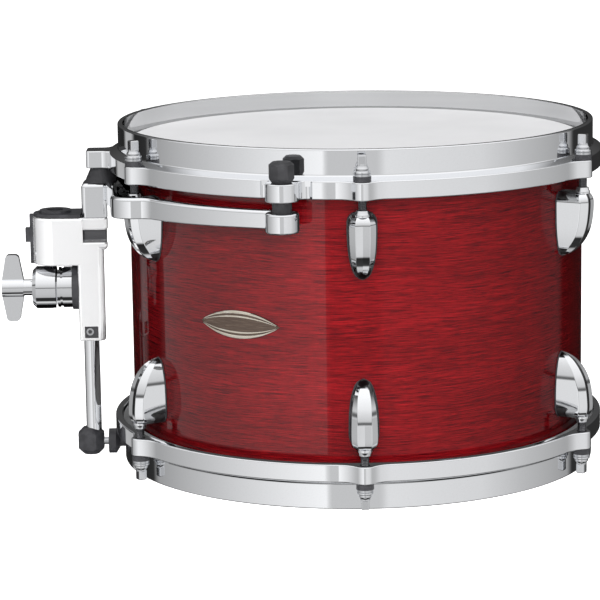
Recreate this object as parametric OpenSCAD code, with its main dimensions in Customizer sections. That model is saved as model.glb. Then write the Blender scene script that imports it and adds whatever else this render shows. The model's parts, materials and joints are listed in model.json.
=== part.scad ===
// Rack tom drum with die-cast counter hoops, rod tensioned heads and a hoop-hung holder bracket.
// Origin: drum axis in the plane of the lower rim. +Z is up, the holder bracket is on -X.

/* [Shell] */
// Outside diameter of the wooden shell
shell_d = 302; // [290:1:330]
// Height of the shell from one bearing edge to the other
shell_depth = 203.2; // [190:0.1:260]
// Thickness of the shell wall
shell_wall = 6; // [5:0.5:7]

/* [Heads] */
// Thickness of the film of each head
film_t = 0.25; // [0.2:0.05:0.3]
// Height of each flesh hoop
flesh_h = 7.9; // [7:0.1:9]

/* [Counter hoops] */
// Full height of each counter hoop
hoop_h = 30.4; // [30:0.1:34]
// Height of the thin upright rim of each hoop
rim_h = 16.9; // [15:0.1:17]
// Distance each rim stands past its bearing edge
rim_rise = 12.1; // [10:0.1:12.5]
// Thickness of the upright rim
rim_t = 3.5; // [3:0.1:3.8]

/* [Tensioning] */
// Diameter of the tension rod threads
thread_d = 5.5; // [5:0.1:5.8]
// Width across the square key head of a rod
key_w = 5.6; // [5:0.1:6]
// Length of a lug from its rod entry to its tip
lug_l = 45.3; // [44:0.1:52]
// Greatest width of a lug
lug_w = 18.2; // [16:0.1:18.6]

/* [Holder bracket] */
// Diameter of the holder rod that the clamp takes
holder_rod_d = 10.5; // [9.5:0.1:11]
// Angle from the bracket to each outer hanger
hanger_angle = 73.4; // [70:0.2:75]
// Length of the wing nut across its wings
wing_span = 45.2; // [36:0.1:50]
// Diameter of the stay tube below the clamp
stay_d = 10.5; // [9:0.1:11.5]

/* [Badge] */
// Length of the blank badge
badge_l = 58; // [40:1:64]
// Height of the blank badge
badge_h = 18; // [12:1:22]

/* [Hidden] */

$fn = 96;
gap = 0.05;             // clearance left between parts that only touch
play = 0.3;             // added to the diameter of a hole that a part drops through
cut = 1;                // how far a cutting shape reaches past the face it cuts
lug_count = 6;          // lugs and rods around each head
lug_angles = [for (i = [0:lug_count - 1]) 180 - i * 360 / lug_count];

// Heights
total_h = shell_depth + 2 * rim_rise;
edge_z = total_h - rim_rise;            // upper bearing edge
ledge_z = total_h - rim_h;              // foot of the upright rim, where the band's top starts
ear_z = ledge_z - 2;                    // flat top of the ears, below the band's sloping top
band_z = total_h - hoop_h;              // underside of the hoop band
pocket_z = ledge_z - 3;                 // shoulder that presses on the flesh hoop
lug_entry_z = band_z - 6.3;
arm_z = band_z - 7;                     // top of the mount frame arms

// Radii
shell_r = shell_d / 2;
inner_r = shell_r - shell_wall;
crest_r = shell_r - 1.4;                // bearing edge crest
rim_ri = shell_r + 3.5;
rim_ro = rim_ri + rim_t;
band_r = shell_r + 13;
pocket_r = shell_r + 8.5;
rod_r = shell_r + 14.8;                 // circle that the tension rods stand on
rod_ear_r = 6;
hanger_r = shell_r + 21;                // circle of the two outer hanger pins
hanger_ear_r = 10.5;
centre_hanger_r = shell_r + 18.5;       // hanger over the bracket

// Film slot in the flesh hoop
flesh_ri = shell_r + 1.4;
flesh_ro = shell_r + 7.75;
slot_r = shell_r + 2.4;
slot_play = 0.1;

// Outer colours
red_wood = "#7a1216";
chrome = "#c9ccd0";
steel = "#8d9196";
black = "#26262a";
white_film = "#f1f2f4";
brass = "#b08d4a";

// ---------- placing ----------

// Turns a piece built outward along +X to an azimuth counted from -Y towards +X
module at_azimuth(a) {
    rotate([0, 0, a - 90]) children();
}

// One copy of a piece at every lug
module at_lugs() {
    for (a = lug_angles) at_azimuth(a) children();
}

// The mirror image of an upper part at the lower head
module lower_side() {
    translate([0, 0, total_h]) mirror([0, 0, 1]) children();
}

// Lays a cylinder along +X from x0 to x1
module rod_x(x0, x1, d) {
    translate([x0, 0, 0]) rotate([0, 90, 0]) cylinder(h = x1 - x0, d = d);
}

module rounded_box_2d(w, d, r) {
    translate([-w / 2 + r, -d / 2]) square([w - 2 * r, d]);
    translate([-w / 2, -d / 2 + r]) square([w, d - 2 * r]);
    for (sx = [-1, 1], sy = [-1, 1])
        translate([sx * (w / 2 - r), sy * (d / 2 - r)]) circle(r = r);
}

// Concave fillets between an ear and a ring: where the middle of one fillet lies. A notch lets the
// fillets bite into the ring.
function fillet_at(ear_r, ear_at, ring_r, fillet_r, notch) =
    let (
        reach = ring_r + fillet_r - notch,
        spread = ear_r + fillet_r,
        swing = acos((reach * reach + ear_at * ear_at - spread * spread) / (2 * reach * ear_at))
    ) [reach * cos(swing), reach * sin(swing)];

// Web that joins an ear to the ring, before its fillets are cut
module ear_web_2d(ear_at, corner, root_r) {
    root = corner * root_r / norm(corner);
    polygon([[root[0], -root[1]], [corner[0], -corner[1]], [ear_at, 0], corner, root]);
}

module fillet_pair_2d(corner, fillet_r) {
    for (s = [-1, 1]) translate([corner[0], s * corner[1]]) circle(r = fillet_r);
}

module ear_2d(ear_r, ear_at, ring_r, root_r, fillet_r) {
    corner = fillet_at(ear_r, ear_at, ring_r, fillet_r, 0);
    translate([ear_at, 0]) circle(r = ear_r);
    difference() {
        ear_web_2d(ear_at, corner, root_r);
        fillet_pair_2d(corner, fillet_r);
    }
}

// ---------- shell ----------

lug_screw_drop = 33.5;      // lug screw below the rod entry
lug_screw_d = 5;
vent_azimuth = 150;
vent_d = 10;

module lug_screw_axes(reach_in, reach_out, d) {
    height = lug_entry_z - lug_screw_drop;
    at_lugs() translate([0, 0, height]) rod_x(reach_in, reach_out, d);
    lower_side() at_lugs() translate([0, 0, height]) rod_x(reach_in, reach_out, d);
}

module shell() {
    outer_bevel = shell_r - crest_r;
    inner_bevel = crest_r - inner_r;
    color(red_wood) difference() {
        rotate_extrude() polygon([
            [inner_r, rim_rise + inner_bevel], [crest_r, rim_rise], [shell_r, rim_rise + outer_bevel],
            [shell_r, edge_z - outer_bevel], [crest_r, edge_z], [inner_r, edge_z - inner_bevel]
        ]);
        lug_screw_axes(inner_r - cut, shell_r + cut, lug_screw_d + play);
        at_azimuth(vent_azimuth) translate([0, 0, total_h / 2])
            rod_x(inner_r - cut, shell_r + cut, vent_d + play);
    }
}

module vent_grommet() {
    lip_d = 16;
    lip_t = 1;
    sleeve_t = 1.5;
    inner_lip = sqrt(inner_r * inner_r - lip_d * lip_d / 4) - gap;
    color(chrome) at_azimuth(vent_azimuth) translate([0, 0, total_h / 2]) difference() {
        union() {
            rod_x(inner_lip - lip_t, shell_r + gap + lip_t, vent_d);
            rod_x(shell_r + gap, shell_r + gap + lip_t, lip_d);
            rod_x(inner_lip - lip_t, inner_lip, lip_d);
        }
        rod_x(inner_lip - lip_t - cut, shell_r + lip_t + cut, vent_d - 2 * sleeve_t);
    }
}

// Plain lens-shaped plate that follows the curve of the shell
module badge() {
    badge_azimuth = -31;
    plate_t = 1;
    half_l = badge_l / 2;
    half_h = badge_h / 2;
    arc_r = (half_l * half_l + half_h * half_h) / (2 * half_h);
    color(brass) intersection() {
        difference() {
            cylinder(h = total_h, r = shell_r + gap + plate_t, $fn = 180);
            translate([0, 0, -cut]) cylinder(h = total_h + 2 * cut, r = shell_r + gap, $fn = 180);
        }
        at_azimuth(badge_azimuth) translate([0, 0, total_h / 2]) rotate([90, 0, 90])
            linear_extrude(shell_r + 2 * plate_t) intersection() {
                translate([0, arc_r - half_h]) circle(r = arc_r);
                translate([0, half_h - arc_r]) circle(r = arc_r);
            }
    }
}

// ---------- heads ----------

module head_film() {
    knee_r = shell_r + 0.9;
    knee_z = edge_z - 1.9;
    slot_top_z = pocket_z + 0.4;
    hem_z = pocket_z - 6;
    under_z = edge_z + gap;
    color(white_film) rotate_extrude($fn = 180) polygon([
        [0, under_z], [crest_r, under_z], [knee_r, knee_z], [slot_r, slot_top_z], [slot_r, hem_z],
        [slot_r + film_t, hem_z], [slot_r + film_t, slot_top_z],
        [knee_r + film_t, knee_z + film_t / 2], [crest_r + film_t / 2, under_z + film_t],
        [0, under_z + film_t]
    ]);
}

module flesh_hoop() {
    slot_floor_z = pocket_z - 6.6;
    color(steel) rotate_extrude($fn = 180) difference() {
        translate([flesh_ri, pocket_z - gap - flesh_h]) square([flesh_ro - flesh_ri, flesh_h]);
        translate([slot_r - slot_play, slot_floor_z])
            square([film_t + 2 * slot_play, pocket_z - slot_floor_z + cut]);
    }
}

module batter_head_film() { head_film(); }
module batter_flesh_hoop() { flesh_hoop(); }
module resonant_head_film() { lower_side() head_film(); }
module resonant_flesh_hoop() { lower_side() flesh_hoop(); }

// ---------- counter hoops ----------

rod_hole_d = thread_d + 1;
band_h = ear_z - band_z;
bush_d = 12.1;
hanger_fillet_r = 4.6;
hanger_notch = 1.1;
centre_ear_reach = shell_r + 28.4;
centre_ear_w = 20;

// Plan of the band with its six rod ears
module band_2d() {
    ear_root_r = (pocket_r + band_r) / 2;
    ear_fillet_r = 18;
    circle(r = band_r, $fn = 180);
    for (a = lug_angles) rotate(a - 90)
        ear_2d(rod_ear_r, rod_r, band_r, ear_root_r, ear_fillet_r);
}

// Upright rim with a rounded outer edge, and the slope from its foot down to the ears. The slope is
// spot-faced where the washers sit.
module rim() {
    edge_round = 1;
    slope_end_r = band_r - 0.6;
    foot_z = (band_z + ear_z) / 2;
    seat_d = nylon_d + 0.8;
    difference() {
        rotate_extrude($fn = 180) {
            translate([0, foot_z]) square([rim_ro - edge_round, total_h - foot_z]);
            translate([0, foot_z]) square([rim_ro, total_h - edge_round - foot_z]);
            translate([rim_ro - edge_round, total_h - edge_round]) circle(r = edge_round);
            polygon([
                [0, foot_z], [slope_end_r, foot_z], [slope_end_r, ear_z], [rim_ro, ledge_z], [0, ledge_z]
            ]);
        }
        at_lugs() translate([rod_r, 0, foot_z - cut])
            cylinder(h = rim_h + band_h, d = seat_d, $fn = 48);
    }
}

// Everything inside the rim, the pocket for the flesh hoop and a relief behind the rim's lip
module hoop_cavity() {
    relief = 0.6;
    relief_z = edge_z + 1;
    translate([0, 0, band_z - cut]) {
        cylinder(h = hoop_h + 2 * cut, r = rim_ri, $fn = 180);
        cylinder(h = relief_z - band_z + cut, r = rim_ri + relief, $fn = 180);
        cylinder(h = pocket_z - band_z + cut, r = pocket_r, $fn = 180);
    }
}

module rod_holes() {
    at_lugs() translate([rod_r, 0, band_z - cut])
        cylinder(h = band_h + 2 * cut, d = rod_hole_d, $fn = 48);
}

// Squared ear over the bracket, flared where it meets the band
module centre_ear_2d() {
    root_r = pocket_r + 2;
    flare = 6;
    corner_r = 2.5;
    half = centre_ear_w / 2;
    translate([(root_r + centre_ear_reach) / 2, 0])
        rounded_box_2d(centre_ear_reach - root_r, centre_ear_w, corner_r);
    polygon([
        [root_r - cut, -half - flare], [band_r + flare / 2, -half],
        [band_r + flare / 2, half], [root_r - cut, half + flare]
    ]);
}

module face_hangers() {
    for (s = [-1, 1]) rotate(180 + s * hanger_angle) children();
}

module at_hangers() {
    face_hangers() translate([hanger_r, 0, 0]) children();
}

// Plan of the band with the hanger ears as well, their fillets let into the band
module batter_band_2d() {
    ear_root_r = (pocket_r + band_r) / 2;
    corner = fillet_at(hanger_ear_r, hanger_r, band_r, hanger_fillet_r, hanger_notch);
    difference() {
        union() {
            band_2d();
            face_hangers() ear_web_2d(hanger_r, corner, ear_root_r);
        }
        face_hangers() fillet_pair_2d(corner, hanger_fillet_r);
    }
    at_hangers() circle(r = hanger_ear_r);
    rotate(180) centre_ear_2d();
}

module batter_hoop() {
    pin_depth = 9;
    color(chrome) difference() {
        union() {
            translate([0, 0, band_z]) linear_extrude(band_h) batter_band_2d();
            rim();
        }
        hoop_cavity();
        rod_holes();
        at_hangers() translate([0, 0, band_z - cut])
            cylinder(h = band_h + 2 * cut, d = bush_d + 2 * gap, $fn = 48);
        translate([-centre_hanger_r, 0, band_z - cut])
            cylinder(h = pin_depth + cut, d = pin_d + 2 * gap, $fn = 48);
    }
}

module resonant_hoop() {
    color(chrome) lower_side() difference() {
        union() {
            translate([0, 0, band_z]) linear_extrude(band_h) band_2d();
            rim();
        }
        hoop_cavity();
        rod_holes();
    }
}

// ---------- tension rods ----------

nylon_t = 3.5;
washer_t = 1.5;
flange_t = 1.6;
collar_h = 4;
key_h = 5.8;
rod_end_drop = 27;      // rod tip below the lug entry
nylon_d = 11.2;
flange_d = 10.7;

// Rod that hangs from a hoop ear on its washers
module tension_rod() {
    seat = ear_z + nylon_t + washer_t + 2 * gap;
    shank_end = lug_entry_z - rod_end_drop;
    collar_d = 9.6;
    collar_top_d = 7;
    corner_d = 1.3 * key_w;             // rounds the corners of the key
    color(steel) {
        translate([0, 0, shank_end]) cylinder(h = seat - shank_end, d = thread_d, $fn = 48);
        translate([0, 0, seat]) cylinder(h = flange_t, d = flange_d, $fn = 48);
        translate([0, 0, seat + flange_t])
            cylinder(h = collar_h, d1 = collar_d, d2 = collar_top_d, $fn = 48);
        translate([0, 0, seat + flange_t + collar_h]) intersection() {
            translate([-key_w / 2, -key_w / 2, 0]) cube([key_w, key_w, key_h]);
            cylinder(h = key_h, d = corner_d, $fn = 48);
        }
    }
}

module batter_rod(i) { at_azimuth(lug_angles[i - 1]) translate([rod_r, 0, 0]) tension_rod(); }
module resonant_rod(i) { lower_side() batter_rod(i); }

module washers(bottom, t, outer_d) {
    at_lugs() translate([rod_r, 0, bottom]) difference() {
        cylinder(h = t, d = outer_d, $fn = 48);
        translate([0, 0, -cut]) cylinder(h = t + 2 * cut, d = thread_d + 2 * play, $fn = 48);
    }
}

module batter_nylon_washers() { color(black) washers(ear_z, nylon_t, nylon_d); }
module batter_steel_washers() { color(steel) washers(ear_z + nylon_t + gap, washer_t, flange_d); }
module resonant_nylon_washers() { lower_side() batter_nylon_washers(); }
module resonant_steel_washers() { lower_side() batter_steel_washers(); }

// ---------- lugs ----------

lug_out = 20.6;         // how far a lug stands out from the shell
lug_neck = 3;           // height of the round neck at the rod entry
gasket_t = 0.7;
nut_d = 8;
nut_l = 14;
nut_drop = 5;           // top of the swivel nut below the rod entry
pocket_w = nut_d + 0.3;

// Side outline: upright face that sweeps back to the shell at the tip
module lug_side_2d() {
    shoulder = 1.8;
    shoulder_h = 5;
    face_h = 17;
    sweep = lug_l - face_h;
    sweep_r = (lug_out * lug_out + sweep * sweep) / (2 * lug_out);
    polygon([
        [0, -face_h], [lug_out, -face_h], [lug_out, -lug_neck - shoulder_h],
        [lug_out - shoulder, -lug_neck], [0, -lug_neck]
    ]);
    intersection() {
        translate([lug_out - sweep_r, -face_h]) circle(r = sweep_r, $fn = 180);
        translate([0, -lug_l]) square([lug_out, sweep + gap]);
    }
}

// Front outline: broad shoulders that narrow to a round tip
module lug_front_2d() {
    half = lug_w / 2;
    neck_half = 0.56 * half;
    waist_half = 0.97 * half;
    tip_r = 5.2;
    shoulder_drop = 8;
    polygon([
        [-neck_half, -lug_neck], [-half, -shoulder_drop], [-waist_half, -lug_l / 2],
        [-tip_r, -lug_l + tip_r], [tip_r, -lug_l + tip_r],
        [waist_half, -lug_l / 2], [half, -shoulder_drop], [neck_half, -lug_neck]
    ]);
    translate([0, -lug_l + tip_r]) circle(r = tip_r);
}

// Cross-section: square to the shell, then sloped sides up to a narrow creased face
module lug_section_2d() {
    half = lug_w / 2;
    slope_start = 13.5;
    face_half = 4.5;
    crease = 0.4;
    polygon([
        [0, -half], [slope_start, -half], [lug_out, -face_half], [lug_out - crease, 0],
        [lug_out, face_half], [slope_start, half], [0, half]
    ]);
}

// Lug on the shell with its rod entry at height 0
module lug() {
    rod_out = rod_r - shell_r;
    neck_d = 9.4;
    screw_hole_l = 9;
    tip_room = 2;                       // free depth past the rod tip
    nut_floor = -nut_drop - nut_l - gap;
    difference() {
        translate([shell_r, 0, 0]) union() {
            intersection() {
                rotate([90, 0, 0]) translate([0, 0, -lug_w]) linear_extrude(2 * lug_w) lug_side_2d();
                rotate([90, 0, 90]) linear_extrude(lug_out + cut) lug_front_2d();
                translate([0, 0, -lug_l]) linear_extrude(lug_l) lug_section_2d();
            }
            translate([rod_out, 0, -lug_neck]) cylinder(h = lug_neck, d = neck_d, $fn = 48);
        }
        translate([0, 0, -lug_l - cut])
            cylinder(h = lug_l + 2 * cut, r = shell_r + gasket_t + 2 * gap, $fn = 180);
        translate([rod_r, 0, -rod_end_drop - tip_room])
            cylinder(h = rod_end_drop + tip_room + cut, d = rod_hole_d, $fn = 48);
        translate([rod_r, 0, nut_floor]) cylinder(h = nut_l + 2 * gap, d = pocket_w, $fn = 48);
        translate([shell_r, -pocket_w / 2, nut_floor]) cube([rod_out, pocket_w, nut_l + 2 * gap]);
        translate([0, 0, -lug_screw_drop]) rod_x(shell_r, shell_r + screw_hole_l, lug_screw_d + 2 * gap);
    }
}

module upper_lugs() { color(chrome) at_lugs() translate([0, 0, lug_entry_z]) lug(); }
module lower_lugs() { lower_side() upper_lugs(); }

// Thin sheets between the upper lugs and the shell, open for the nuts and screws
module upper_gaskets() {
    inset = 2;
    intersection() {
        difference() {
            cylinder(h = total_h, r = shell_r + gap + gasket_t, $fn = 180);
            translate([0, 0, -cut]) cylinder(h = total_h + 2 * cut, r = shell_r + gap, $fn = 180);
        }
        difference() {
            at_lugs() translate([shell_r - inset, 0, lug_entry_z]) rotate([90, 0, 90])
                linear_extrude(2 * inset) lug_front_2d();
            at_lugs() translate([shell_r - inset - cut, -pocket_w / 2, lug_entry_z - nut_drop - nut_l])
                cube([2 * (inset + cut), pocket_w, nut_l]);
            lug_screw_axes(shell_r - inset - cut, shell_r + inset + cut, lug_screw_d + play);
        }
    }
}

module lug_gaskets() {
    color(black) {
        upper_gaskets();
        lower_side() upper_gaskets();
    }
}

module upper_nuts() {
    at_lugs() translate([rod_r, 0, lug_entry_z - nut_drop - nut_l]) difference() {
        cylinder(h = nut_l, d = nut_d, $fn = 48);
        translate([0, 0, -cut]) cylinder(h = nut_l + 2 * cut, d = thread_d + 2 * gap, $fn = 48);
    }
}

module swivel_nuts() {
    color(steel) {
        upper_nuts();
        lower_side() upper_nuts();
    }
}

screw_washer_d = 12;
screw_washer_t = 1.2;
screw_seat = sqrt(inner_r * inner_r - screw_washer_d * screw_washer_d / 4) - gap;

module lug_screws() {
    head_d = 9;
    head_t = 3;
    grip = 8;
    head_seat = screw_seat - screw_washer_t - gap;
    color(steel) {
        lug_screw_axes(head_seat - cut, shell_r + grip, lug_screw_d);
        lug_screw_axes(head_seat - head_t, head_seat, head_d);
    }
}

module lug_screw_washers() {
    color(steel) difference() {
        lug_screw_axes(screw_seat - screw_washer_t, screw_seat, screw_washer_d);
        lug_screw_axes(screw_seat - screw_washer_t - cut, screw_seat + cut, lug_screw_d + play);
    }
}

// ---------- hangers and mount frame ----------

pin_d = 6;
eyelet_d = 21;
eyelet_h = 12.5;
arm_ri = shell_r + 9.5;
arm_ro = shell_r + 16;
arm_h = 15;
arm_tip_h = 11.5;
bulge_r = 15.5;             // outside of the bow around a lug
bulge_clear_r = 10.9;       // inside of the bow
post_in = shell_r + 14.4;
post_out = shell_r + 32;
post_w = 24;
post_top_z = arm_z - 3;
post_z = arm_z - 26.1;      // underside of the post

module hanger_pins() {
    cap_grip = 7;
    blind_depth = 8.5;
    foot_z = arm_z - arm_tip_h + 1;
    top_z = ear_z + cap_grip;
    blind_top_z = band_z + blind_depth;
    color(steel) {
        at_hangers() translate([0, 0, foot_z]) cylinder(h = top_z - foot_z, d = pin_d, $fn = 48);
        translate([-centre_hanger_r, 0, foot_z])
            cylinder(h = blind_top_z - foot_z, d = pin_d, $fn = 48);
    }
}

module hanger_caps() {
    cap_d = 15.2;
    base_d = 12.3;
    cap_h = 12.9;
    base_bevel = 3;
    bevel = 2;
    socket_h = 8;
    trim_r = cap_d / 2 + 0.5;           // takes the sharp corners off the eight sides
    color(black) at_hangers() translate([0, 0, ear_z + gap]) difference() {
        intersection() {
            cylinder(h = cap_h, d = cap_d / cos(180 / 8), $fn = 8);
            rotate_extrude($fn = 48) polygon([
                [0, 0], [base_d / 2, 0], [trim_r, base_bevel], [trim_r, cap_h - bevel],
                [cap_d / 2 - bevel, cap_h], [0, cap_h]
            ]);
        }
        translate([0, 0, -cut]) cylinder(h = socket_h + cut, d = pin_d + 2 * gap, $fn = 48);
    }
}

module hanger_bushes() {
    centre_bush_d = 14.3;
    centre_bush_foot_d = 23;
    centre_bush_h = band_z - post_top_z - 2 * gap;
    color(black) {
        at_hangers() translate([0, 0, arm_z + gap]) difference() {
            cylinder(h = ear_z - arm_z - gap, d = bush_d, $fn = 48);
            translate([0, 0, -cut]) cylinder(h = hoop_h, d = pin_d + 2 * gap, $fn = 48);
        }
        translate([-centre_hanger_r, 0, post_top_z + gap]) difference() {
            cylinder(h = centre_bush_h, d1 = centre_bush_foot_d, d2 = centre_bush_d, $fn = 48);
            translate([0, 0, -cut]) cylinder(h = hoop_h, d = pin_d + 2 * gap, $fn = 48);
        }
    }
}

// Plan of both arms: an arc under the hoop band, bowed out around the two lugs beside the bracket
module arms_2d() {
    bulge_blend_r = 9;
    far = 2 * arm_ro;
    end = [-far * cos(hanger_angle), far * sin(hanger_angle)];
    difference() {
        union() {
            intersection() {
                difference() {
                    circle(r = arm_ro, $fn = 180);
                    circle(r = arm_ri, $fn = 180);
                }
                polygon([[0, 0], [end[0], -end[1]], [-far, -far], [-far, far], end]);
            }
            for (a = [-60, -120]) rotate(a - 90)
                ear_2d(bulge_r, rod_r, arm_ro, arm_ri + cut, bulge_blend_r);
        }
        for (a = [-60, -120]) rotate(a - 90) translate([rod_r, 0]) circle(r = bulge_clear_r);
        circle(r = arm_ri, $fn = 180);
    }
}

// Heights of the arms seen along X: deep near the post and dipped over it, shallower at the eyelets
module arm_heights_2d() {
    root_half = 60;
    dip_half = 22;
    far = hanger_r + eyelet_d;
    polygon([
        [-far, arm_z], [-dip_half, arm_z], [-post_w / 2, post_top_z], [post_w / 2, post_top_z],
        [dip_half, arm_z], [far, arm_z], [far, arm_z - arm_tip_h],
        [hanger_r - eyelet_d, arm_z - arm_tip_h],
        [root_half, arm_z - arm_h], [-root_half, arm_z - arm_h],
        [eyelet_d - hanger_r, arm_z - arm_tip_h], [-far, arm_z - arm_tip_h]
    ]);
}

module mount_frame() {
    post_corner_r = 2.5;
    screw_hole_l = housing_screw_l + 2;
    color(chrome) difference() {
        union() {
            intersection() {
                translate([0, 0, arm_z - 2 * arm_h]) linear_extrude(3 * arm_h) arms_2d();
                rotate([90, 0, 90]) translate([0, 0, -2 * arm_ro])
                    linear_extrude(4 * arm_ro) arm_heights_2d();
            }
            at_hangers() translate([0, 0, arm_z - eyelet_h]) cylinder(h = eyelet_h, d = eyelet_d);
            translate([-(post_in + post_out) / 2, 0, post_z]) linear_extrude(post_top_z - post_z)
                rounded_box_2d(post_out - post_in, post_w, post_corner_r);
        }
        at_hangers() translate([0, 0, arm_z - arm_tip_h])
            cylinder(h = arm_h, d = pin_d + 2 * gap, $fn = 48);
        translate([-centre_hanger_r, 0, arm_z - arm_tip_h])
            cylinder(h = arm_h, d = pin_d + 2 * gap, $fn = 48);
        housing_screw_axes(post_z - cut, post_z + screw_hole_l, housing_screw_d + 2 * gap);
    }
}

// ---------- clamp housing ----------

holder_x = -(shell_r + 50.3);       // axis of the holder rod
barrel_r = 15.5;
barrel_z = arm_z - 57.7;            // underside of the barrel
barrel_h = 32.2;
barrel_in_x = -(shell_r + 32);
bridge_t = 8.2;
bridge_z = post_z - gap - bridge_t;
bridge_in_x = -(shell_r + 14.4);
column_out_x = -(shell_r + 35.4);
column_in_x = -(shell_r + 17.2);
column_top_z = bridge_z - 7.7;
column_z = column_top_z - 67;
stay_x = -(shell_r + 28.3);
jaw_z = barrel_z - 16.8;
guide_d = 18;
housing_screw_d = 4;
housing_screw_l = 12;               // reach of the housing screws into the post
housing_head_d = 7;
housing_head_h = 4.7;               // depth of the pockets for the screw heads
set_screw_d = 5;
set_screw_z = column_z + 6;

module housing_screw_axes(z0, z1, d) {
    screw_x = -(shell_r + 22);
    screw_y = 7.5;
    for (s = [-1, 1]) translate([screw_x, s * screw_y, z0]) cylinder(h = z1 - z0, d = d, $fn = 48);
}

module barrel_2d(inset) {
    translate([holder_x, 0]) circle(r = barrel_r - inset);
    translate([holder_x, inset - barrel_r])
        square([barrel_in_x - inset - holder_x, 2 * (barrel_r - inset)]);
}

// Plan of the column: as deep as the barrel, tight corners at the clamp and wider ones at the drum
module column_2d() {
    tight_r = 2;
    wide_r = 4.5;
    flat_w = column_in_x - column_out_x - tight_r - wide_r;
    for (s = [-1, 1]) {
        translate([column_out_x + tight_r, s * (barrel_r - tight_r)]) circle(r = tight_r);
        translate([column_in_x - wide_r, s * (barrel_r - wide_r)]) circle(r = wide_r);
    }
    translate([column_out_x + tight_r, -barrel_r]) square([flat_w, 2 * barrel_r]);
    translate([column_out_x, tight_r - barrel_r])
        square([tight_r + cut, 2 * (barrel_r - tight_r)]);
    translate([column_in_x - wide_r - cut, wide_r - barrel_r])
        square([wide_r + cut, 2 * (barrel_r - wide_r)]);
}

module clamp_housing() {
    web_w = 7;
    web_inset = 2;
    slot_w = 5;
    stay_hole_l = 66;
    notch_h = 8;
    notch_w = 9.1;
    notch_depth = 3;
    notch_side = 3.4;
    color(chrome) difference() {
        union() {
            translate([0, 0, barrel_z]) linear_extrude(barrel_h) barrel_2d(0);
            translate([0, 0, column_z]) linear_extrude(column_top_z - column_z) column_2d();
            translate([barrel_in_x - cut, -post_w / 2, bridge_z])
                cube([bridge_in_x - barrel_in_x + cut, post_w, bridge_t]);
            translate([barrel_in_x - cut, -web_w / 2, column_top_z - cut])
                cube([bridge_in_x - barrel_in_x + cut - web_inset, web_w, bridge_z - column_top_z + 2 * cut]);
        }
        translate([holder_x, 0, barrel_z - cut]) cylinder(h = barrel_h + 2 * cut, d = guide_d + 2 * gap);
        translate([holder_x - barrel_r - cut, -slot_w / 2, barrel_z - cut])
            cube([barrel_r, slot_w, barrel_h + 2 * cut]);
        translate([stay_x, 0, column_z - cut])
            cylinder(h = stay_hole_l + cut, d = stay_d + 2 * gap, $fn = 64);
        housing_screw_axes(bridge_z - cut, bridge_z + bridge_t + cut, housing_screw_d + play);
        housing_screw_axes(bridge_z - cut, bridge_z + housing_head_h, housing_head_d + play);
        translate([stay_x - notch_side, -barrel_r - cut, set_screw_z - notch_h / 2])
            cube([notch_w, notch_depth + cut, notch_h]);
        translate([stay_x, 0, set_screw_z]) rotate([90, 0, 0])
            cylinder(h = 2 * barrel_r, d = set_screw_d + 2 * gap, $fn = 48);
    }
}

module housing_screws() {
    head_top = bridge_z + housing_head_h - gap;
    color(steel) {
        housing_screw_axes(head_top - cut, post_z + housing_screw_l, housing_screw_d);
        housing_screw_axes(bridge_z + gap, head_top, housing_head_d);
    }
}

// Plastic guide: a sleeve in the barrel with a cover plate, a raised ring and a tab in the slot
module rod_guide() {
    plate_t = 2;
    plate_inset = 0.8;
    ring_d = 21.3;
    ring_h = 3.8;
    tab_w = 4.6;
    tab_z = barrel_z + 14.5;
    tab_h = 9.5;
    tab_out = 4.8;
    rib_out = 1.8;
    top = barrel_z + barrel_h + gap;
    color(black) difference() {
        union() {
            translate([holder_x, 0, barrel_z]) cylinder(h = barrel_h + plate_t, d = guide_d);
            translate([0, 0, top]) linear_extrude(plate_t) barrel_2d(plate_inset);
            translate([holder_x, 0, top]) cylinder(h = ring_h, d = ring_d);
            translate([holder_x - barrel_r - rib_out, -tab_w / 2, barrel_z])
                cube([barrel_r, tab_w, barrel_h + cut]);
            translate([holder_x - barrel_r - tab_out, -tab_w / 2, tab_z])
                cube([tab_out + cut, tab_w, tab_h]);
        }
        translate([holder_x, 0, barrel_z - cut])
            cylinder(h = barrel_h + ring_h + 3 * cut, d = holder_hole_d, $fn = 64);
    }
}

// ---------- clamp ----------

plate_in_x = column_out_x - gap;
plate_out_x = plate_in_x - 4.4;     // where the inner jaw starts
inner_jaw_d = 27.6;
outer_jaw_d = 28.7;
jaw_gap = 0.6;                      // half of the gap between the jaws
outer_jaw_l = 15.6;
bolt_d = 8;
eye_d = 18;
eye_h = 10;
eye_room = 0.5;                     // free space around the eye
holder_hole_d = holder_rod_d + 0.4;
wing_hub_l = 6.5;
wing_l = 14.4;
nut_depth = 12;

module at_jaw() {
    translate([holder_x, 0, jaw_z]) children();
}

module clamp_plate() {
    plate_d = 30.4;
    color(black) at_jaw() rod_x(plate_out_x + gap - holder_x, plate_in_x - holder_x, plate_d);
}

// Upright cylinder centred on the clamp's holder rod
module upright(h, d) {
    translate([0, 0, -h / 2]) cylinder(h = h, d = d, $fn = 64);
}

// What both jaws leave free: the holder rod and the bolt's eye
module jaw_hollow() {
    upright(2 * outer_jaw_d, holder_hole_d);
    upright(eye_h + 2 * eye_room, eye_d + 2 * eye_room);
}

module inner_jaw() {
    lip_w = 2;
    groove_w = 1.5;
    groove_depth = 0.8;
    color(chrome) at_jaw() difference() {
        rod_x(jaw_gap, plate_out_x - holder_x, inner_jaw_d);
        jaw_hollow();
        translate([jaw_gap + lip_w, 0, 0]) difference() {
            rod_x(0, groove_w, 2 * inner_jaw_d);
            rod_x(-cut, groove_w + cut, inner_jaw_d - 2 * groove_depth);
        }
    }
}

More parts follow.
